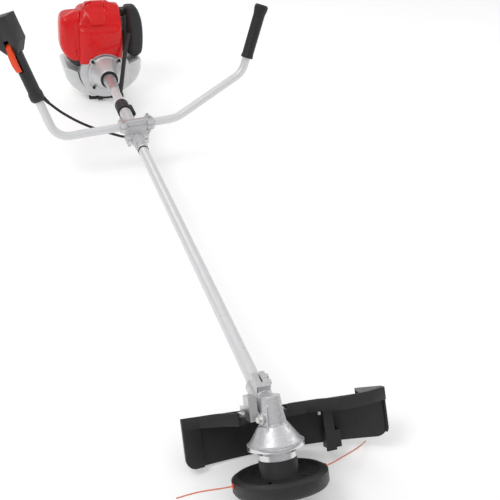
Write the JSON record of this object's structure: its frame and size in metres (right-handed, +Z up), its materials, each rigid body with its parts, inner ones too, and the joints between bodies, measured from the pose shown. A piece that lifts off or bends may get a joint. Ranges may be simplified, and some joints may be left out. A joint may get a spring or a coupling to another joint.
{
  "type": "brush cutter",
  "caption": "Petrol brush cutter: straight drive tube, bicycle handlebar, small engine at the rear, angled gear case with guard and line head.",
  "frame": {"origin": "on the floor, at the centre of the machine's bounding box as it lies on its line head and engine stand", "axes": "+Y runs from the cutting head to the engine, +X is the operator's left, +Z is up"},
  "size_m": [0.7238, 1.9038, 0.4437],
  "materials": {
    "tube_paint": "satin silver-white enamel on the drive tube and handlebar",
    "sleeve_grey": "satin anodised",
    "cast_metal": "as cast, bead blasted",
    "machined": "turned bright",
    "steel": "turned steel",
    "zinc_screws": "zinc plated",
    "black_screws": "black oxide",
    "red_cover": "gloss moulded",
    "trigger_red": "gloss moulded",
    "black_plastic": "fine moulded texture",
    "rubber": "matt",
    "tank_white": "translucent blow-moulded",
    "filter_foam": "open-cell foam",
    "muffler_steel": "heat-resistant black",
    "line_nylon": "clear tinted nylon",
    "bush_plastic": "oil-filled nylon"
  },
  "bodies": {
    "frame": {"air_cleaner_base": "black_plastic", "air_filter": "filter_foam", "ball_bearings": "steel", "cable_band": "rubber", "cable_conduit": "rubber", "carburettor": "cast_metal", "clamp_base": "cast_metal", "clamp_cap": "cast_metal", "clamp_foot": "cast_metal", "clutch_housing": "cast_metal", "clutch_housing_screws": "black_screws", "crankcase": "cast_metal", "cylinder": "cast_metal", "drive_tube": "tube_paint", "engine_cover": "red_cover", "fan_cover": "cast_metal", "fuel_tank": "tank_white", "gear_case": "cast_metal", "gear_case_ring": "machined", "guard": "black_plastic", "guard_bracket": "steel", "handlebar": "tube_paint", "hexagon_screws": "zinc_screws", "left_grip": "rubber", "line_cutter": "black_plastic", "muffler": "muffler_steel", "muffler_cover": "red_cover", "shaft_bushes": "bush_plastic", "spark_plug": "steel", "stand": "black_plastic", "starter_housing": "black_plastic", "throttle_cable": "rubber", "throttle_case_inner": "black_plastic", "throttle_case_outer": "black_plastic", "tube_damper": "rubber", "tube_sleeve": "sleeve_grey"},
    "air_cleaner_cover": {"air_cleaner_cover": "black_plastic"},
    "fuel_cap": {"fuel_cap": "black_plastic"},
    "starter_handle": {"starter_handle": "black_plastic"},
    "starter_reel": {"starter_reel": "black_plastic"},
    "crank": {"crankshaft": "steel", "flywheel": "cast_metal", "clutch_shoes": "steel"},
    "piston": {"piston": "cast_metal"},
    "drive_line": {"drive_shaft": "steel", "clutch_drum": "steel", "bevel_pinion": "steel"},
    "cutting_head": {"output_shaft": "steel", "bevel_gear": "steel", "blade_holder": "machined", "line_head": "black_plastic", "line_end_a": "line_nylon", "line_end_b": "line_nylon"},
    "spool": {"line_spool": "black_plastic", "tap_knob": "black_plastic"},
    "throttle_trigger": {"throttle_trigger": "trigger_red"},
    "throttle_lockout": {"throttle_lockout": "black_plastic"},
    "stop_switch": {"stop_switch": "trigger_red"},
    "throttle_arm": {"throttle_arm": "steel"},
    "primer_bulb": {"primer_bulb": "rubber"}
  },
  "joints": [
    {"name": "head_spin", "type": "hinge", "parent": "frame", "child": "cutting_head", "pos_m": [-0.00872, -0.82627, 0.13423], "axis": [0, 0.5759, 0.8175], "continuous": true},
    {"name": "drive_spin", "type": "hinge", "parent": "frame", "child": "drive_line", "pos_m": [-0.00872, -0.74469, 0.13257], "axis": [0, 0.9998, -0.0202], "continuous": true},
    {"name": "crank_spin", "type": "hinge", "parent": "frame", "child": "crank", "pos_m": [-0.00872, 0.80499, 0.10119], "axis": [0, 0.9998, -0.0202], "continuous": true},
    {"name": "piston_stroke", "type": "slide", "parent": "frame", "child": "piston", "axis": [0, 0.0202, 0.9998], "range_m": [-0.03, 0]},
    {"name": "spool_tap", "type": "slide", "parent": "cutting_head", "child": "spool", "axis": [0, 0.5759, 0.8175], "range_m": [0, 0.005], "stiffness_N_per_m": 1500, "springref_m": -0.006},
    {"name": "trigger_pull", "type": "hinge", "parent": "frame", "child": "throttle_trigger", "pos_m": [-0.30821, 0.30779, 0.36736], "axis": [0.8014, -0.4662, 0.3748], "range_deg": [0, 10], "stiffness_Nm_per_rad": 0.8, "springref_deg": -8.59},
    {"name": "lockout_press", "type": "hinge", "parent": "frame", "child": "throttle_lockout", "pos_m": [-0.3011, 0.32158, 0.3693], "axis": [-0.8014, 0.4662, -0.3748], "range_deg": [0, 8], "stiffness_Nm_per_rad": 0.8, "springref_deg": -8.59},
    {"name": "switch_slide", "type": "slide", "parent": "frame", "child": "stop_switch", "axis": [-0.3272, 0.1829, 0.9271], "range_m": [0, 0.004]},
    {"name": "throttle_turn", "type": "hinge", "parent": "frame", "child": "throttle_arm", "pos_m": [0.04528, 0.84701, 0.20036], "axis": [0, 0.0202, 0.9998], "range_deg": [0, 70]},
    {"name": "primer_press", "type": "slide", "parent": "frame", "child": "primer_bulb", "axis": [0, 0.9998, -0.0202], "range_m": [0, 0.0035], "stiffness_N_per_m": 600, "springref_m": -0.002},
    {"name": "cleaner_open", "type": "hinge", "parent": "frame", "child": "air_cleaner_cover", "pos_m": [0.10928, 0.84571, 0.13638], "axis": [0, 0.9998, -0.0202], "range_deg": [0, 65]},
    {"name": "cap_turn", "type": "hinge", "parent": "frame", "child": "fuel_cap", "pos_m": [0.07328, 0.93652, 0.07653], "axis": [0, 0.9998, -0.0202], "range_deg": [0, 450]},
    {"name": "starter_pull", "type": "slide", "parent": "frame", "child": "starter_handle", "axis": [0, 0.9998, -0.0202], "range_m": [0, 0.6], "stiffness_N_per_m": 14, "springref_m": -0.35},
    {"name": "reel_turn", "type": "hinge", "parent": "frame", "child": "starter_reel", "pos_m": [-0.00872, 0.91497, 0.09897], "axis": [0, 0.9998, -0.0202], "range_deg": [0, 1565]}
  ],
  "couplings": [
    {"joint": "drive_spin", "follows": "head_spin", "ratio": 1.3333},
    {"joint": "throttle_turn", "follows": "trigger_pull", "ratio": 7},
    {"joint": "reel_turn", "follows": "starter_pull", "rad_per_m": 45.455}
  ]
}
